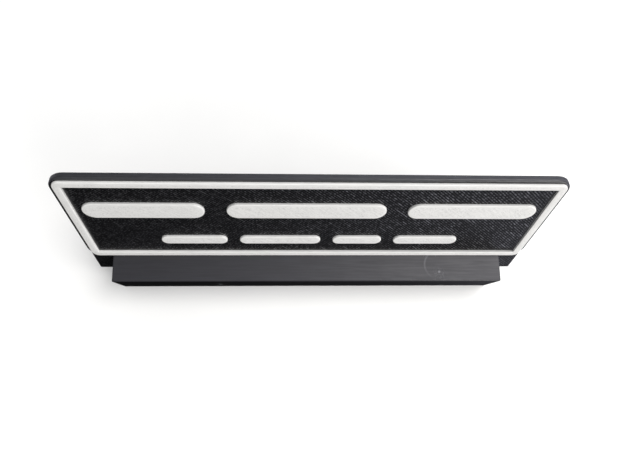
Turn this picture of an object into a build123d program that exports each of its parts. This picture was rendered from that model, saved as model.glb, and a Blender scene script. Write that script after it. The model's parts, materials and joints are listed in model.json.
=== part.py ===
from build123d import *
import math
import os

# A desk name plate: a thin printed panel with a raised white border and raised
# white bars, whose plain tab stands in a leaning slot of a block base.
# Millimetres and degrees. X runs along the plate, Y towards its back, Z up.
# The origin is the middle of the base's underside.

# Panel: a rounded rectangle with a straight tab below it
panel_width = 204.0
panel_height = 59.5
panel_thickness = 2.8
panel_corner_radius = 7.0
panel_front_round = 0.9
panel_back_round = 0.4
tab_inset = 0.75
tab_notch_radius = 1.0
lean_angle = 20.0

# Base: a block with a slot from end to end that holds the tab
base_width = 183.2
base_depth = 40.0
base_height = 21.0
base_edge_round = 0.6
base_foot_chamfer = 0.3
front_ledge = 13.0
slot_depth = 12.8
slot_clearance = 0.15

# Raised white border just inside the panel's outline
relief_height = 1.0
border_margin = 1.8
border_width = 3.3
border_corner_radius = 3.3
border_gap = 0.4
border_edge_round = 0.35

# Raised white bars in the places of a name and of a title below it
name_bar_height = 10.0
name_bar_gap = 9.0
name_row_margin = 3.0
title_bar_height = 6.0
title_bar_gap = 5.5
bar_edge_chamfer = 0.4

# Where the rows lie in the window inside the border, and how their lengths divide
name_row_share = 0.68
title_row_share = 0.215
title_width_share = 0.685
name_length_shares = (0.29, 0.39, 0.32)
title_length_shares = (0.25, 0.31, 0.19, 0.25)

# An edge on the relief is softened over no more than this share of its height
relief_edge_share = 0.8

# How far a cut runs past what it cuts
overrun = 5.0

# The panel's own frame: origin where its face crosses the base's top,
# x along the panel, y up the face, z out of the face
lean = math.radians(lean_angle)
face_frame = Plane(
    origin=(0, front_ledge - base_depth / 2, base_height),
    x_dir=(1, 0, 0),
    z_dir=(0, -math.cos(lean), math.sin(lean)),
)

# Heights up the face: the panel's lower edge, its middle and the border's window
panel_low = border_gap - border_margin
panel_middle = panel_low + panel_height / 2
border_outer_width = panel_width - 2 * border_margin
border_outer_height = panel_height - 2 * border_margin
window_width = border_outer_width - 2 * border_width
window_height = border_outer_height - 2 * border_width
window_low = border_gap + border_width


def make_base():
    """A block with softened edges, slotted from end to end along the lean."""
    block = Box(base_width, base_depth, base_height, align=(Align.CENTER, Align.CENTER, Align.MIN))
    _, uprights, rim = block.edges().group_by(Axis.Z)
    block = fillet(uprights + rim, base_edge_round)
    foot = block.edges().group_by(Axis.Z)[0]
    block = chamfer(foot, base_foot_chamfer)
    slot = Box(
        base_width + 2 * overrun,
        slot_depth + overrun,
        panel_thickness + 2 * slot_clearance,
        align=(Align.CENTER, Align.MIN, Align.MAX),
    )
    return block - face_frame * Pos(0, -slot_depth, slot_clearance) * slot


def make_panel():
    """The rounded panel and the tab that stands on the slot's floor, in one piece."""
    tab_width = panel_width - 2 * tab_inset
    tab_reach = slot_depth + panel_low + panel_corner_radius
    face = RectangleRounded(panel_width, panel_height, panel_corner_radius)
    tab = Rectangle(tab_width, tab_reach, align=(Align.CENTER, Align.MIN))
    outline = Pos(0, panel_middle) * face + Pos(0, -slot_depth) * tab
    notches = outline.vertices().group_by(Axis.Y)[1]
    outline = fillet(notches, tab_notch_radius)
    body = extrude(outline, amount=-panel_thickness)
    # The tab's foot keeps a square front edge to stand on
    _, *rim = body.faces().sort_by(Axis.Z)[-1].edges().sort_by(Axis.Y)
    body = fillet(rim, panel_front_round)
    body = fillet(body.faces().sort_by(Axis.Z)[0].edges(), panel_back_round)
    return face_frame * body


def raise_relief(outline, soften, edge_size):
    """A flat white shape standing on the face, with its upper edges softened."""
    body = extrude(outline, amount=relief_height)
    rim = body.edges().group_by(Axis.Z)[-1]
    body = soften(rim, min(edge_size, relief_edge_share * relief_height))
    return face_frame * body


def make_border():
    """A ring round the face, rounded outside and square inside."""
    outside = RectangleRounded(border_outer_width, border_outer_height, border_corner_radius)
    window = Rectangle(window_width, window_height)
    return raise_relief(Pos(0, panel_middle) * (outside - window), fillet, border_edge_round)


def make_bars(row_share, row_width, bar_height, bar_gap, length_shares):
    """A row of round-ended bars, from left to right."""
    row_height = window_low + row_share * window_height
    bars_length = row_width - bar_gap * (len(length_shares) - 1)
    bars = []
    left = -row_width / 2
    for share in length_shares:
        length = share * bars_length
        outline = Pos(left + length / 2, row_height) * SlotOverall(length, bar_height)
        bars.append(raise_relief(outline, chamfer, bar_edge_chamfer))
        left += length + bar_gap
    return bars


name_row_width = window_width - 2 * name_row_margin
title_row_width = title_width_share * window_width
name_bars = make_bars(name_row_share, name_row_width, name_bar_height, name_bar_gap, name_length_shares)
title_bars = make_bars(title_row_share, title_row_width, title_bar_height, title_bar_gap, title_length_shares)

nodes = {"base": make_base(), "panel": make_panel(), "border": make_border()}
for number, bar in enumerate(name_bars, start=1):
    nodes[f"name_bar_{number}"] = bar
for number, bar in enumerate(title_bars, start=1):
    nodes[f"title_bar_{number}"] = bar

os.makedirs("parts", exist_ok=True)
for name, solid in nodes.items():
    export_step(solid, f"parts/{name}.step")
    print(f"{name}: {solid.volume:.1f} cubic mm")
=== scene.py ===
# %% [markdown]
# # A desk name plate
#
# The real object is a thin printed panel that leans back in the slot of a block base.
# A white border and two rows of blank white bars stand one millimetre proud of its black face.
# The CAD model already has every solid in its place, in metres, so this lesson loads it as a
# fixed frame and adds what a camera sees: rounded bars, printed surfaces, light and a floor.

import json
import math

import bmesh
import bpy
from mathutils import Matrix, Vector


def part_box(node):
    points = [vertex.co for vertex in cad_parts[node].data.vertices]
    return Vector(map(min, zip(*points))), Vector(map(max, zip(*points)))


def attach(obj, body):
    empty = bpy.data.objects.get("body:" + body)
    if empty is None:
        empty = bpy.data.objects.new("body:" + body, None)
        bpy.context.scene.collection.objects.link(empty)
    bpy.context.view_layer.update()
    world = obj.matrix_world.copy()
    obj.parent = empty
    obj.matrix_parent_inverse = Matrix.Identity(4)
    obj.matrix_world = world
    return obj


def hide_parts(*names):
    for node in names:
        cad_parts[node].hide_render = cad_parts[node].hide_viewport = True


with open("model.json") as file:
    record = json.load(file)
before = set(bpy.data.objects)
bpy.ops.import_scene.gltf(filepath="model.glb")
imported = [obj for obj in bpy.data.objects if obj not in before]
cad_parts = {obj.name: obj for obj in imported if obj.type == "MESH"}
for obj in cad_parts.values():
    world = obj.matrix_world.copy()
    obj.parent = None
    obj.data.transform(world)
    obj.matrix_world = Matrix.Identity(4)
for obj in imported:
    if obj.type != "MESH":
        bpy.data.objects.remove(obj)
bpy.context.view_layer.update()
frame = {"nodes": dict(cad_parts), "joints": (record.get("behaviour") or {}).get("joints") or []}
print("CAD nodes:", ", ".join(sorted(frame["nodes"])))

# %% [markdown]
# ## The plate's own directions
#
# Everything on the plate leans back with it. The joint that lifts the plate out of its slot
# runs straight up the face, so its axis gives the lean, and no angle has to be typed again.
# The two other directions follow: along the plate, and straight out of its face.

# %% Directions of the leaning face
MM = 0.001
ALONG = Vector((1, 0, 0))
UP_FACE = Vector(frame["joints"][0]["axis"]).normalized()
OUT_OF_FACE = ALONG.cross(UP_FACE)
lean = math.atan2(UP_FACE.y, UP_FACE.z)
print(f"the plate leans back by {math.degrees(lean):.1f} degrees")

# %% Sizes in those directions


def reach(node, direction):
    """The lowest and highest place of a CAD node along a direction."""
    places = [vertex.co.dot(direction) for vertex in frame["nodes"][node].data.vertices]
    return min(places), max(places)


def extents(node):
    """A CAD node's length, height and thickness in the plate's directions."""
    return [high - low for low, high in (reach(node, way) for way in (ALONG, UP_FACE, OUT_OF_FACE))]


for node in ("panel", "border"):
    print(node, [round(size / MM, 2) for size in extents(node)], "mm")

# %% [markdown]
# ## Camera
#
# The photograph looks down on the plate from close by, so the top edge comes out longer than
# the bottom one. Position, turn and focal length were worked out from the straight edges of the
# border and the base. The turn is given as a cameraman would: heading, tilt down, and roll.

# %% Camera
camera_place = Vector((-12.220, -46.905, 267.739)) * MM
camera_heading = math.radians(13.7367)
camera_tilt_down = math.radians(78.1364)
camera_roll = math.radians(-13.5694)

camera = bpy.data.objects.new("camera", bpy.data.cameras.new("camera"))
camera.data.sensor_fit = "HORIZONTAL"
camera.data.sensor_width = 36.0
camera.data.lens = 30.642
camera.data.clip_start = 0.01
camera.matrix_world = (
    Matrix.Translation(camera_place)
    @ Matrix.Rotation(-camera_heading, 4, "Z")
    @ Matrix.Rotation(math.pi / 2 - camera_tilt_down, 4, "X")
    @ Matrix.Rotation(-camera_roll, 4, "Z")
)
bpy.context.scene.collection.objects.link(camera)
bpy.context.scene.camera = camera
print(f"camera {camera.data.lens:.2f} mm, {camera_place.z / MM:.0f} mm above the floor")

# %% [markdown]
# ## Node helpers
#
# Materials are built from nodes, and each node takes several lines of Python. A few helpers keep
# that readable: place adds any node and feeds its inputs, and the others add the small nodes that
# come up again and again. A feed is either a number or the output of another node.

# %% Single nodes


def place(tree, kind, feeds, **settings):
    """Add a node, set its options, and feed its inputs by name or number."""
    node = tree.nodes.new(kind)
    for name, value in settings.items():
        setattr(node, name, value)
    for name, feed in feeds.items():
        if isinstance(feed, bpy.types.NodeSocket):
            tree.links.new(feed, node.inputs[name])
        else:
            node.inputs[name].default_value = feed
    return node


def calculate(tree, operation, *feeds):
    """The result of one Math node."""
    return place(tree, "ShaderNodeMath", dict(enumerate(feeds)), operation=operation).outputs[0]


def between(tree, value, start, end, low=0.0, high=1.0):
    """A smooth step: low before start, high after end."""
    feeds = {"Value": value, "From Min": start, "From Max": end, "To Min": low, "To Max": high}
    return place(tree, "ShaderNodeMapRange", feeds, interpolation_type="SMOOTHSTEP").outputs[0]


def mixed(tree, share, first, second):
    """One value that goes over to another as share goes from 0 to 1."""
    feeds = {0: share, 2: first, 3: second}
    return place(tree, "ShaderNodeMix", feeds, data_type="FLOAT").outputs[0]


def noise(tree, feeds, dimensions="3D"):
    """The value of one Noise Texture node, around 0.5."""
    return place(tree, "ShaderNodeTexNoise", feeds, noise_dimensions=dimensions).outputs[0]


print("helpers for single nodes ready")

# %% Node groups


def new_group(name, inputs, outputs):
    """An empty shader node group with named sockets, and the sockets of its two end nodes."""
    group = bpy.data.node_groups.new(name, "ShaderNodeTree")
    for socket, default in inputs.items():
        kind = "NodeSocketFloat" if isinstance(default, float) else "NodeSocketVector"
        made = group.interface.new_socket(name=socket, in_out="INPUT", socket_type=kind)
        if isinstance(default, float):
            made.default_value = default
    for socket in outputs:
        group.interface.new_socket(name=socket, in_out="OUTPUT", socket_type="NodeSocketFloat")
    start = group.nodes.new("NodeGroupInput")
    end = group.nodes.new("NodeGroupOutput")
    return group, start.outputs, end.inputs


def use_group(tree, group, feeds):
    """Place a group in a material and feed it."""
    return place(tree, "ShaderNodeGroup", feeds, node_tree=group).outputs


print("helpers for node groups ready")

# %% [markdown]
# ## Printed beads
#
# A printer lays plastic down in beads, side by side on a flat face and on top of each other up a
# wall. An image texture could show them, but a formula is sharp at any distance: divide the
# distance across the beads by their pitch, and the fraction is the place within one bead.
# The whole number tells the beads apart, so each gets its own long streaks and its own small lumps.

# %% Group: printed beads
bead_width = 0.45
layer_height = 0.2
wander_mm = 0.25
streak_length = 6.0

beads, given, result = new_group(
    "printed_beads",
    {"Across": 0.0, "Along": 0.0, "Pitch": bead_width, "Lump": 1.0},
    ["Height", "Tone", "Grain", "Crown"],
)
wander = noise(beads, {"W": given["Along"], "Scale": 0.15, "Detail": 1.0}, "1D")
wandering = calculate(beads, "MULTIPLY_ADD", wander, wander_mm, given["Across"])
counted = calculate(beads, "DIVIDE", wandering, given["Pitch"])
bead_number = calculate(beads, "FLOOR", counted)
from_crown = calculate(beads, "MULTIPLY_ADD", calculate(beads, "FRACT", counted), 2.0, -1.0)
crown = calculate(beads, "SUBTRACT", 1.0, calculate(beads, "MULTIPLY", from_crown, from_crown))


def along_each_bead(length, apart, detail):
    """A noise whose patches have a length along the beads and differ from bead to bead."""
    lengthwise = calculate(beads, "DIVIDE", given["Along"], length)
    crosswise = calculate(beads, "MULTIPLY", bead_number, apart)
    spot = place(beads, "ShaderNodeCombineXYZ", {"X": lengthwise, "Y": crosswise}).outputs[0]
    return noise(beads, {"Vector": spot, "Scale": 1.0, "Detail": detail, "Roughness": 0.6}, "2D")


tone = along_each_bead(streak_length, 1.3, 2.0)
grain = along_each_bead(given["Lump"], 1.7, 1.0)
lumpy = calculate(beads, "MULTIPLY", crown, calculate(beads, "ADD", grain, 0.5))
for name, value in {"Height": lumpy, "Tone": tone, "Grain": grain, "Crown": crown}.items():
    beads.links.new(value, result[name])
print("group", beads.name, "with", len(beads.nodes), "nodes")

# %% [markdown]
# ## Specks
#
# Printed plastic is never quite clean: tiny pimples and dust show as bright specks, which on the
# black panel also carry painted glints.
# Cells of a Voronoi texture give scattered points, and only some cells may carry a speck, so
# each cell's own random colour decides which.

# %% Group: specks
specks, given, result = new_group(
    "specks",
    {"Vector": (0, 0, 0), "Spacing": 3.0, "Size": 0.3, "Share": 0.3},
    ["Mask"],
)
cells = place(
    specks,
    "ShaderNodeTexVoronoi",
    {"Vector": given["Vector"], "Scale": calculate(specks, "DIVIDE", 1.0, given["Spacing"])},
)
distance = calculate(specks, "MULTIPLY", cells.outputs["Distance"], given["Spacing"])
dot = between(specks, distance, given["Size"], 0.0)
chance = place(specks, "ShaderNodeSeparateColor", {0: cells.outputs["Color"]}).outputs[0]
chosen = calculate(specks, "LESS_THAN", chance, given["Share"])
specks.links.new(calculate(specks, "MULTIPLY", dot, chosen), result["Mask"])
print("group", specks.name, "with", len(specks.nodes), "nodes")

# %% [markdown]
# ## Materials
#
# Each finish is one Principled shader. What is the same all over sits on its own sockets, and
# what changes over the surface comes from the groups. The pattern reads Object coordinates, in
# millimetres, turned by a Mapping node so that its axes are along, up and out of the face.

# %% Start of a finish


def new_finish(name, specular, roughness=0.5):
    """A material with one Principled shader."""
    material = bpy.data.materials.new(name)
    material.use_nodes = True
    shader = material.node_tree.nodes["Principled BSDF"]
    shader.inputs["Roughness"].default_value = roughness
    shader.inputs["Specular IOR Level"].default_value = specular
    return material, material.node_tree, shader


def coordinates(tree, turn, shift):
    """Object coordinates in millimetres, turned about X and shifted: the point and its parts."""
    feeds = {
        "Vector": place(tree, "ShaderNodeTexCoord", {}).outputs["Object"],
        "Location": shift,
        "Rotation": (turn, 0, 0),
        "Scale": (1 / MM, 1 / MM, 1 / MM),
    }
    point = place(tree, "ShaderNodeMapping", feeds).outputs[0]
    return point, *place(tree, "ShaderNodeSeparateXYZ", {0: point}).outputs


def tinted(tree, value, tint):
    """A colour: the tint, scaled by a value."""
    return place(tree, "ShaderNodeVectorMath", {0: tint, "Scale": value}, operation="SCALE").outputs[0]


def bumped(tree, shader, height, strength, depth_mm):
    """Tilts the shader's normal as a surface of that height would."""
    feeds = {"Height": height, "Strength": strength, "Distance": depth_mm * MM}
    tree.links.new(place(tree, "ShaderNodeBump", feeds).outputs[0], shader.inputs["Normal"])


print("helpers for finishes ready")

# %% Beads on a surface


def goes_over(tree, share, first, second):
    """Two kinds of beads, of which the second takes over as share goes from 0 to 1."""
    values = ("Height", "Tone", "Grain", "Crown")
    return {name: mixed(tree, share, first[name], second[name]) for name in values}


def diagonals(tree, u, v):
    """Distances along the two diagonals of the face: down to the right, and up to the right."""
    down_right = calculate(tree, "MULTIPLY", calculate(tree, "SUBTRACT", u, v), math.sqrt(0.5))
    up_right = calculate(tree, "MULTIPLY", calculate(tree, "ADD", u, v), math.sqrt(0.5))
    return down_right, up_right


print("helpers for beads ready")

# %% Places on the plate
border_width = 3.3
border_low, border_high = reach("border", UP_FACE)
face_middle = (border_low + border_high) / 2
panel_back, panel_front = reach("panel", OUT_OF_FACE)
panel_thickness = (panel_front - panel_back) / MM
relief_height = reach("border", OUT_OF_FACE)[1] / MM - panel_front / MM
border_half_width = reach("border", ALONG)[1] / MM
border_half_height = (border_high - face_middle) / MM
window_half_width = border_half_width - border_width
window_half_height = border_half_height - border_width
plate_turn = lean - math.pi / 2
plate_shift = (0, -face_middle / MM, -panel_front / MM)
print(f"panel {panel_thickness:.2f} mm thick, relief {relief_height:.2f} mm high")

# %% [markdown]
# ### Black panel
#
# The face is the last printed layer. Inside the border its beads run diagonally from upper left
# to lower right, and on the narrow margin outside they follow the outline. The rim and the sides
# show the stacked layers edge on, and the back has the beads of the first layer. The distance out
# of the face and the distance past the border tell which of the four it is.

# %% Black panel: its surfaces
filling_pitch = 1.1
first_layer_pitch = 0.5

panel_black, tree, shader = new_finish("panel_black", specular=0.12)
shader.inputs["Coat IOR"].default_value = 2.0
shader.inputs["Coat Roughness"].default_value = 0.3
point, u, v, out = coordinates(tree, plate_turn, plate_shift)
down_right, up_right = diagonals(tree, u, v)
past_side = calculate(tree, "SUBTRACT", calculate(tree, "ABSOLUTE", u), border_half_width)
past_top = calculate(tree, "SUBTRACT", v, border_half_height)
past_border = calculate(tree, "MAXIMUM", past_side, past_top)
on_margin = between(tree, past_border, -0.1, 0.1)
on_face = between(tree, out, -0.12, -0.04)
on_back = between(tree, out, -panel_thickness + 0.08, -panel_thickness + 0.02)
in_filling = calculate(tree, "MULTIPLY", on_face, calculate(tree, "SUBTRACT", 1.0, on_margin))
print("panel: face, margin, walls and back told apart")

# %% Black panel: its beads
filling = use_group(
    tree, beads, {"Across": up_right, "Along": down_right, "Pitch": filling_pitch, "Lump": 0.9}
)
round_about = calculate(tree, "ADD", u, v)
loops = use_group(
    tree, beads, {"Across": past_border, "Along": round_about, "Pitch": bead_width, "Lump": 3.0}
)
back = use_group(
    tree, beads, {"Across": down_right, "Along": up_right, "Pitch": first_layer_pitch, "Lump": 2.0}
)
walls = use_group(tree, beads, {"Across": out, "Along": up_right, "Pitch": layer_height, "Lump": 3.0})
face = goes_over(tree, on_margin, filling, loops)
surface = goes_over(tree, on_back, goes_over(tree, on_face, walls, face), back)
streak = between(tree, surface["Tone"], 0.38, 0.62)
print("panel: four kinds of beads")

# %% [markdown]
# On the face the crowns of the beads glitter: short lumps and some long lines shine, and the
# rest stays dull. A coat whose weight follows the beads does this better than bump alone, which
# turns to noise when a bead is as small as a pixel. Beside the border's wall the nozzle turns
# back and smears the beads, so a thin strip there shines evenly, and the tab below is duller.

# %% Black panel: its glitter
strip_beside_wall = 1.4
even_glitter = 0.6
tab_glitter = 0.2

lines = between(tree, surface["Crown"], 0.6, 1.0)
lumps = between(tree, surface["Grain"], 0.52, 0.58)
long_lines = between(tree, surface["Tone"], 0.60, 0.70)
shine = calculate(tree, "MULTIPLY_ADD", long_lines, 1.1, 0.2)
shine = calculate(tree, "MULTIPLY_ADD", lumps, 0.85, shine)
glitter = calculate(tree, "MULTIPLY", lines, shine)

to_side = calculate(tree, "SUBTRACT", window_half_width, calculate(tree, "ABSOLUTE", u))
to_end = calculate(tree, "SUBTRACT", window_half_height, calculate(tree, "ABSOLUTE", v))
to_wall = calculate(tree, "ABSOLUTE", calculate(tree, "MINIMUM", to_side, to_end))
beside_wall = between(tree, to_wall, strip_beside_wall, 0.2)
glitter = mixed(tree, beside_wall, glitter, even_glitter)
on_tab = between(tree, v, -border_half_height, -border_half_height - 0.4, 0.0, 0.5)
glitter = mixed(tree, on_tab, glitter, tab_glitter)

even = calculate(tree, "MULTIPLY_ADD", streak, 0.1, 0.32)
gloss = mixed(tree, in_filling, even, glitter)
tree.links.new(gloss, shader.inputs["Coat Weight"])
tree.links.new(mixed(tree, streak, 0.55, 0.35), shader.inputs["Roughness"])
print("panel: coat weight and roughness follow the beads")

# %% [markdown]
# Bright specks of dust, which carry painted glints too, thin out towards the bottom with a painted
# falloff of light. A painted highlight makes the rounding of the upper rim paler, and painted glints
# make the colour follow the coat's glitter. All are only a little more colour on the same dark
# plastic, so they are added to its shade one after the other.

# %% Black panel: its colour
plain_shade = 0.004
painted_glint_shade = 0.012
dust_and_glint_shade = 0.05
rim_highlight_shade = 0.022

# dust specks that also carry painted glints, thinning towards the bottom with a painted falloff of light
dust_and_glints = use_group(tree, specks, {"Vector": point, "Spacing": 1.2, "Size": 0.6, "Share": 0.7})["Mask"]
painted_light_falloff = between(tree, v, -25.0, 10.0, 0.25, 1.0)
dust_and_glints = calculate(tree, "MULTIPLY", dust_and_glints, mixed(tree, in_filling, 0.1, painted_light_falloff))
# painted highlight: the rounding of the upper rim is made paler, fading out towards the right end
painted_rim_highlight = calculate(
    tree, "MULTIPLY", between(tree, past_top, 0.2, 0.8), between(tree, out, -0.6, -0.25)
)
painted_rim_highlight = calculate(tree, "MULTIPLY", painted_rim_highlight, between(tree, u, 90.0, 20.0))
# painted glints: the colour is brighter wherever the coat glitters on the beads
shade = calculate(tree, "MULTIPLY_ADD", gloss, painted_glint_shade, plain_shade)
shade = calculate(tree, "MULTIPLY_ADD", dust_and_glints, dust_and_glint_shade, shade)
shade = calculate(tree, "MULTIPLY_ADD", painted_rim_highlight, rim_highlight_shade, shade)
tree.links.new(tinted(tree, shade, (0.97, 0.97, 1.05)), shader.inputs["Base Color"])

flatter_filling = calculate(tree, "MULTIPLY_ADD", in_filling, -0.7, 1.0)
bumped(tree, shader, calculate(tree, "MULTIPLY", surface["Height"], flatter_filling), 0.9, 0.05)
print("finish", panel_black.name)

# %% [markdown]
# ### Black base
#
# The base is printed standing on its underside. Its walls show level layers, and the beads of
# its top run along the plate, which gives faint streaks from end to end. The streaks are mostly
# a change of gloss, so they go into the roughness, and the colour changes only a little.

# %% Black base: its beads
base_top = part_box("base")[1].z / MM
base_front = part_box("base")[0].y / MM

base_black, tree, shader = new_finish("base_black", specular=0.72)
shader.inputs["Specular Tint"].default_value = (1.0, 0.985, 0.995, 1.0)
point, x, y, z = coordinates(tree, 0.0, (0, 0, 0))
long_way = calculate(tree, "MULTIPLY", x, 0.3)
top = use_group(tree, beads, {"Across": y, "Along": long_way, "Pitch": bead_width, "Lump": 1.5})
round_about = calculate(tree, "ADD", x, y)
walls = use_group(tree, beads, {"Across": z, "Along": round_about, "Pitch": layer_height, "Lump": 4.0})
on_top = between(tree, z, base_top - 0.12, base_top - 0.04)
surface = goes_over(tree, on_top, walls, top)
streak = between(tree, surface["Tone"], 0.3, 0.7)

blotch = between(tree, noise(tree, {"Vector": point, "Scale": 0.09, "Detail": 4.0}), 0.35, 0.7)
gloss = calculate(tree, "MULTIPLY_ADD", blotch, 0.3, calculate(tree, "MULTIPLY", streak, 0.7))
top_roughness = mixed(tree, gloss, 0.51, 0.42)
tree.links.new(mixed(tree, on_top, 0.33, top_roughness), shader.inputs["Roughness"])
bumped(tree, shader, surface["Height"], 0.3, 0.02)
print(f"base: top beads at {base_top:.0f} mm, layers below")

# %% [markdown]
# Handling has left one curved scuff on the base's top, with faint swirls and a pale nick inside
# it, and one upright mark on its front. Each is a distance from a spot, so it sits where it is on
# the real base and nowhere else. The scuff is a ring of which only the left part is kept, and
# the front mark is a ball in coordinates squashed upwards, which makes it tall.

# %% Black base: its wear
scuff_middle = (61.6, -12.2, base_top)
scuff_radius = 6.6
smudge_middle = (61.8, -16.8, base_top)
nick_middle = (61.9, -15.5, base_top)
squash = 0.2
mark_middle = (-42.9, base_front, 9.0 * squash)


def distance_to(tree, point, spot):
    """How far the shaded point is from a spot."""
    feeds = {0: point, 1: spot}
    return place(tree, "ShaderNodeVectorMath", feeds, operation="DISTANCE").outputs["Value"]


off_line = calculate(tree, "SUBTRACT", distance_to(tree, point, scuff_middle), scuff_radius)
scuff = between(tree, calculate(tree, "ABSOLUTE", off_line), 0.7, 0.0)
scuff = calculate(tree, "MULTIPLY", scuff, between(tree, x, 60.0, 57.0))
scuff = calculate(tree, "MULTIPLY", scuff, between(tree, y, -16.0, -11.0, 0.3, 1.0))
swirl = noise(tree, {"Vector": point, "Scale": 0.5, "Detail": 2.0, "Distortion": 1.5})
smudge = between(tree, distance_to(tree, point, smudge_middle), 5.0, 1.0)
smudge = calculate(tree, "MULTIPLY", smudge, between(tree, swirl, 0.45, 0.65))
scuff = calculate(tree, "MULTIPLY_ADD", smudge, 0.6, scuff)
nick = between(tree, distance_to(tree, point, nick_middle), 0.9, 0.2)
squashed = {0: point, 1: (1, 1, squash)}
squashed = place(tree, "ShaderNodeVectorMath", squashed, operation="MULTIPLY").outputs[0]
mark = between(tree, distance_to(tree, squashed, mark_middle), 1.1, 0.3)
print("base: one scuff, one nick and one mark")

# %% Black base: its colour
plain_shade = 0.002
streak_shade = 0.004
scuff_shade = 0.05
nick_shade = 0.11

shade = calculate(tree, "MULTIPLY_ADD", streak, streak_shade, plain_shade)
shade = calculate(tree, "MULTIPLY_ADD", scuff, scuff_shade, shade)
shade = calculate(tree, "MULTIPLY_ADD", calculate(tree, "ADD", mark, nick), nick_shade, shade)
tree.links.new(tinted(tree, shade, (0.97, 0.97, 1.06)), shader.inputs["Base Color"])
print("finish", base_black.name)

# %% [markdown]
# ### White relief
#
# The white plastic is matte. On each raised shape two beads follow the outline, and short
# diagonal beads fill the rest. A diagonal can be worked out from the coordinates, but the outline
# differs from shape to shape, so each mesh carries its distance from the edge as an attribute.
# The walls and the rounded rim are painted a little greyer than the top, a painted shade that
# dims the light caught by the rim. The pits of the filling get painted shade as well.

# %% White relief: its beads
outline_band = 2 * bead_width

relief_white, tree, shader = new_finish("relief_white", specular=0.4, roughness=0.6)
point, u, v, out = coordinates(tree, plate_turn, plate_shift)
down_right, up_right = diagonals(tree, u, v)
edge_distance = place(tree, "ShaderNodeAttribute", {}, attribute_name="from_edge").outputs["Fac"]
outline = use_group(
    tree, beads, {"Across": edge_distance, "Along": down_right, "Pitch": bead_width, "Lump": 2.0}
)
filling = use_group(
    tree, beads, {"Across": up_right, "Along": down_right, "Pitch": bead_width, "Lump": 0.8}
)
walls = use_group(tree, beads, {"Across": out, "Along": up_right, "Pitch": layer_height, "Lump": 3.0})
on_top = between(tree, out, relief_height - 0.2, relief_height - 0.06)
is_filling = between(tree, edge_distance, outline_band - 0.02, outline_band + 0.02)
surface = goes_over(tree, on_top, walls, goes_over(tree, is_filling, outline, filling))
print("relief: outline, filling and walls")

# %% White relief: its colour
painted_pit_shade = 0.12
painted_wall_shade = 0.84

shade = between(tree, surface["Tone"], 0.3, 0.7, 0.77, 0.85)
# painted shade: the pits between the filling's lumps are made darker
shaded_pits = calculate(tree, "MULTIPLY", between(tree, surface["Grain"], 0.5, 0.25), is_filling)
shade = calculate(tree, "MULTIPLY_ADD", shaded_pits, -painted_pit_shade, shade)
# painted shade: the walls and the lower part of the rounded rim are made greyer
painted_rim_and_wall_shade = between(tree, out, relief_height - 0.3, relief_height - 0.02, painted_wall_shade, 1.0)
shade = calculate(tree, "MULTIPLY", shade, painted_rim_and_wall_shade)
tree.links.new(tinted(tree, shade, (1.0, 0.995, 0.985)), shader.inputs["Base Color"])
bumped(tree, shader, surface["Height"], 0.6, 0.03)
print("finish", relief_white.name)

# %% [markdown]
# ### Finishes on the CAD nodes
#
# The base and the panel are plain solids whose CAD shape is already right, with the softened
# edges of the real ones. They could be modelled again, but a new material is all they need.

# %% Finishes on the CAD nodes
for node, finish in {"base": base_black, "panel": panel_black}.items():
    materials = frame["nodes"][node].data.materials
    materials.clear()
    materials.append(finish)
    print("finished", node)

# %% [markdown]
# ## Raised white pieces
#
# The border and the bars all stand on the leaning face. It is easier to model each one flat round
# the origin, with z out of the face, and to turn it into place at the end. The place is that of
# the CAD node which the piece stands for, so the piece rides on the plate and lifts with it.

# %% A raised white piece
sharp_angle = math.radians(40)


def raised_piece(name, shape, node):
    """Turns a shape made flat, with z out of the face, into the piece that stands for a CAD node."""
    left, right = reach(node, ALONG)
    low, high = reach(node, UP_FACE)
    foot, crest = reach(node, OUT_OF_FACE)
    middle = ALONG * (left + right) / 2 + UP_FACE * (low + high) / 2 + OUT_OF_FACE * (foot + crest) / 2
    turned = Matrix((ALONG, UP_FACE, OUT_OF_FACE)).transposed().to_4x4()
    shape.transform(Matrix.Translation(middle) @ turned)
    mesh = bpy.data.meshes.new(name)
    shape.to_mesh(mesh)
    shape.free()
    mesh.shade_smooth()
    mesh.set_sharp_from_angle(angle=sharp_angle)
    mesh.materials.append(relief_white)
    piece = bpy.data.objects.new(name, mesh)
    bpy.context.scene.collection.objects.link(piece)
    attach(piece, "plate")
    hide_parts(node)
    print(piece.name, f"{(right - left) / MM:.1f} by {(high - low) / MM:.1f} mm, {len(mesh.polygons)} faces")


print("white pieces ride on the plate")

# %% [markdown]
# ## White border
#
# The border is one raised strip round the face, round at its outer corners and square inside.
# A frame cut out of a block would leave long thin faces, so the strip's cross-section is drawn
# once instead, drawn out along each side, and turned about the window's corner to the next one.
# The section's middle point carries its distance from the edge, and the sweep takes it along.

# %% The border's cross-section
strip_width = border_width * MM
border_rim_round = 0.35 * MM
rim_segments = 4
length, height, thickness = extents("border")
window_half = Vector((length / 2 - strip_width, height / 2 - strip_width))

ring = bmesh.new()
from_edge = ring.verts.layers.float.new("from_edge")
bmesh.ops.create_grid(ring, x_segments=1, y_segments=1, size=0.5)
bmesh.ops.scale(ring, vec=(strip_width, thickness, 1), verts=ring.verts)
upper = [vertex for vertex in ring.verts if vertex.co.y > 0]
bmesh.ops.bevel(
    ring,
    geom=upper,
    offset=border_rim_round,
    segments=rim_segments,
    profile=0.5,
    affect="VERTICES",
    material=-1,
)
flat_top = max(ring.edges, key=lambda edge: edge.verts[0].co.y + edge.verts[1].co.y)
bmesh.ops.subdivide_edges(ring, edges=[flat_top], cuts=1)
centre = min(ring.verts, key=lambda vertex: abs(vertex.co.x) - vertex.co.y)
centre[from_edge] = (strip_width / 2 - border_rim_round) / MM
bmesh.ops.delete(ring, geom=list(ring.faces), context="FACES_ONLY")
print("section of", len(ring.edges), "edges")

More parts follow.
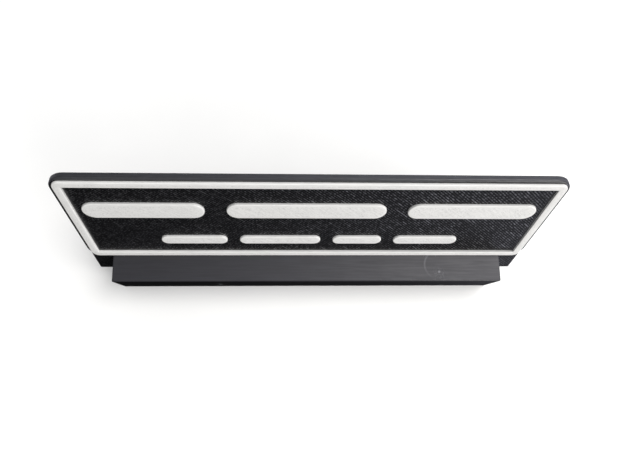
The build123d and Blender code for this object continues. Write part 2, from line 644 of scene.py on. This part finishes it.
# %% The section taken round the window
corner_steps = 10
start = Vector((-window_half.x, window_half.y + strip_width / 2, 0))
stand_up = Matrix(((0, 0, 1), (1, 0, 0), (0, 1, 0))).to_4x4()
ring.transform(Matrix.Translation(start) @ stand_up)
section = list(ring.edges)
heading = Vector((1, 0, 0))
for corner_x, corner_y in ((1, 1), (1, -1), (-1, -1), (-1, 1)):
    drawn = bmesh.ops.extrude_edge_only(ring, edges=section)["geom"]
    ends = [item for item in drawn if isinstance(item, bmesh.types.BMVert)]
    section = [item for item in drawn if isinstance(item, bmesh.types.BMEdge) and item.is_boundary]
    run = 2 * (window_half.x if heading.x else window_half.y)
    bmesh.ops.translate(ring, vec=heading * run, verts=ends)
    turned = bmesh.ops.spin(
        ring,
        geom=ends + section,
        cent=(corner_x * window_half.x, corner_y * window_half.y, 0),
        axis=(0, 0, 1),
        angle=-math.pi / 2,
        steps=corner_steps,
        use_merge=False,
    )["geom_last"]
    section = [item for item in turned if isinstance(item, bmesh.types.BMEdge)]
    heading = Vector((heading.y, -heading.x, 0))
bmesh.ops.remove_doubles(ring, verts=ring.verts, dist=0.001 * MM)
bmesh.ops.recalc_face_normals(ring, faces=ring.faces)
open_edges = sum(not edge.is_manifold for edge in ring.edges)
print("ring of", len(ring.faces), "faces,", open_edges, "open edges")
raised_piece("border_ring", ring, "border")

# %% [markdown]
# ## White bars
#
# Each blank bar is a flat white strip with round ends and a soft upper edge. A cube becomes one
# in two bevels: a wide one on its four upright edges rounds the ends, and a small one softens the
# rim. An inset then divides the top, so that the outline beads know how far they are from the edge.

# %% Bars of both rows
bar_rim_round = 0.45 * MM
outline_depth = 1.35 * MM
nearly_half = 0.499
end_segments = 20
rim_segments = 5
bar_nodes = [node for node in sorted(frame["nodes"]) if "_bar_" in node]


def topmost(shape):
    """The face that lies furthest out."""
    return max(shape.faces, key=lambda face: face.calc_center_median().z)


def round_edges(shape, edges, offset, segments):
    """Bevels edges of a shape to a circular rounding."""
    bmesh.ops.bevel(
        shape, geom=edges, offset=offset, segments=segments, profile=0.5, affect="EDGES", material=-1
    )


for node in bar_nodes:
    length, height, thickness = extents(node)
    bar = bmesh.new()
    from_edge = bar.verts.layers.float.new("from_edge")
    bmesh.ops.create_cube(bar, size=1.0)
    bmesh.ops.scale(bar, vec=(length, height, thickness), verts=bar.verts)
    uprights = [edge for edge in bar.edges if abs(edge.verts[0].co.z - edge.verts[1].co.z) > thickness / 2]
    round_edges(bar, uprights, nearly_half * height, end_segments)
    bmesh.ops.remove_doubles(bar, verts=bar.verts, dist=0.03 * MM)
    round_edges(bar, list(topmost(bar).edges), bar_rim_round, rim_segments)
    top = topmost(bar)
    bmesh.ops.inset_region(bar, faces=[top], thickness=outline_depth, use_even_offset=True)
    for vertex in top.verts:
        vertex[from_edge] = outline_depth / MM
    raised_piece("rounded_" + node, bar, node)

# %% [markdown]
# ## Floor
#
# The plate stands on a plain pale floor, which is only a stage for it. A real floor would also
# throw its light back up at the plate from below. Here the glow comes from the surrounding light
# instead, where its strength can be set for each side, so the plate doesn't see this floor.

# %% Floor
floor_size = 6.0
floor_mesh = bpy.data.meshes.new("floor")
floor_shape = bmesh.new()
bmesh.ops.create_grid(floor_shape, x_segments=1, y_segments=1, size=floor_size / 2)
floor_shape.to_mesh(floor_mesh)
floor_shape.free()
floor = bpy.data.objects.new("floor", floor_mesh)
bpy.context.scene.collection.objects.link(floor)
floor.visible_glossy = False
floor.visible_diffuse = False
pale, tree, shader = new_finish("pale_floor", specular=0.0, roughness=0.9)
point, x, y, z = coordinates(tree, 0.0, (0, 0, 0))
cloud = noise(tree, {"Vector": point, "Scale": 0.02, "Detail": 2.0})
shade = between(tree, cloud, 0.3, 0.7, 0.925, 0.945)
tree.links.new(tinted(tree, shade, (1, 1, 1)), shader.inputs["Base Color"])
floor_mesh.materials.append(pale)
print("floor", floor_size, "m wide")

# %% [markdown]
# ## Light from all round
#
# A soft dome of light leaves a close shadow round the base. It is brighter behind the plate and
# to its right, which the base's top and the plate's upper rim reflect as a slow change from left
# to right. The lower half of the dome stands for the floor's glow, brightest on the right.
# Black plastic shows little but reflections, so these levels decide how it looks.

# %% Sky and glow
sky_level = 0.43
bright_side_level = 1.25
right_glow = 0.76
left_glow = 0.45
back_glow = 0.7
front_glow = 0.28

studio = bpy.data.worlds.new("studio")
bpy.context.scene.world = studio
studio.use_nodes = True
tree = studio.node_tree
direction = place(tree, "ShaderNodeTexCoord", {}).outputs["Generated"]
rightward, backward, upward = place(tree, "ShaderNodeSeparateXYZ", {0: direction}).outputs
behind = between(tree, backward, -0.8, 0.0)
behind = calculate(tree, "MULTIPLY", between(tree, rightward, -0.6, 0.6), behind)
sky = calculate(tree, "MULTIPLY_ADD", behind, bright_side_level, sky_level)
to_right = between(tree, rightward, -0.25, 0.8, 0.0, right_glow)
to_left = between(tree, rightward, -0.7, -1.0, 0.0, left_glow)
to_back = between(tree, backward, 0.0, 0.7, 0.0, back_glow)
around = calculate(tree, "MAXIMUM", to_right, calculate(tree, "MAXIMUM", to_left, to_back))
low_glow = calculate(tree, "MULTIPLY", around, between(tree, upward, -0.97, -0.7))
level = mixed(tree, between(tree, upward, -0.05, 0.05), low_glow, sky)
print("sky", sky_level, "and glow", right_glow, "on the right")

# %% What reflections and the camera see of it
cool_tint = (0.95, 0.96, 1.11, 1)

path = place(tree, "ShaderNodeLightPath", {})
to_front = between(tree, backward, -0.3, -0.9, 0.0, front_glow)
far_out = between(tree, upward, -0.4, -0.2)
far_out = calculate(tree, "MULTIPLY", far_out, between(tree, upward, 0.05, -0.05))
to_front = calculate(tree, "MULTIPLY", to_front, far_out)
level = calculate(tree, "MULTIPLY_ADD", to_front, path.outputs["Is Glossy Ray"], level)
level = mixed(tree, path.outputs["Is Camera Ray"], level, 1.0)
tree.links.new(level, tree.nodes["Background"].inputs["Strength"])
cool = {0: path.outputs["Is Glossy Ray"], 6: (1, 1, 1, 1), 7: cool_tint}
colour = place(tree, "ShaderNodeMix", cool, data_type="RGBA").outputs[2]
tree.links.new(colour, tree.nodes["Background"].inputs["Color"])
print("white behind the floor, cool in reflections")

# %% [markdown]
# ## Softboxes
#
# Two square softboxes give the light a direction: one above and one in front, both on the right.
# They make the white relief brighter towards the right and model its rounded edges. Large ones
# keep every shadow soft. A lamp's power is spread over its area, so the brightness of its surface
# is given instead, and the power follows from it.

# %% Softboxes
warm_white = (1.0, 0.985, 0.95)


def softbox(name, place_mm, aim_mm, size_mm, level):
    """A square light of even brightness that faces a point."""
    light = bpy.data.lights.new(name, "AREA")
    light.shape = "SQUARE"
    light.size = size_mm * MM
    light.energy = level * math.pi * light.size**2
    light.color = warm_white
    lamp = bpy.data.objects.new(name, light)
    spot = Vector(place_mm) * MM
    facing = (Vector(aim_mm) * MM - spot).to_track_quat("-Z", "Y")
    lamp.matrix_world = Matrix.Translation(spot) @ facing.to_matrix().to_4x4()
    lamp.visible_camera = False
    bpy.context.scene.collection.objects.link(lamp)
    print("softbox", name, size_mm, "mm wide")


softbox("over", (330, 130, 620), (60, 0, 40), 350, 4.2)
softbox("front", (450, -470, 280), (0, 0, 40), 450, 4.6)
bpy.context.scene.view_settings.view_transform = "Standard"

# %% [markdown]
# ## End
#
# Looks don't change the object's size.

# %% End
print("end of the scene")
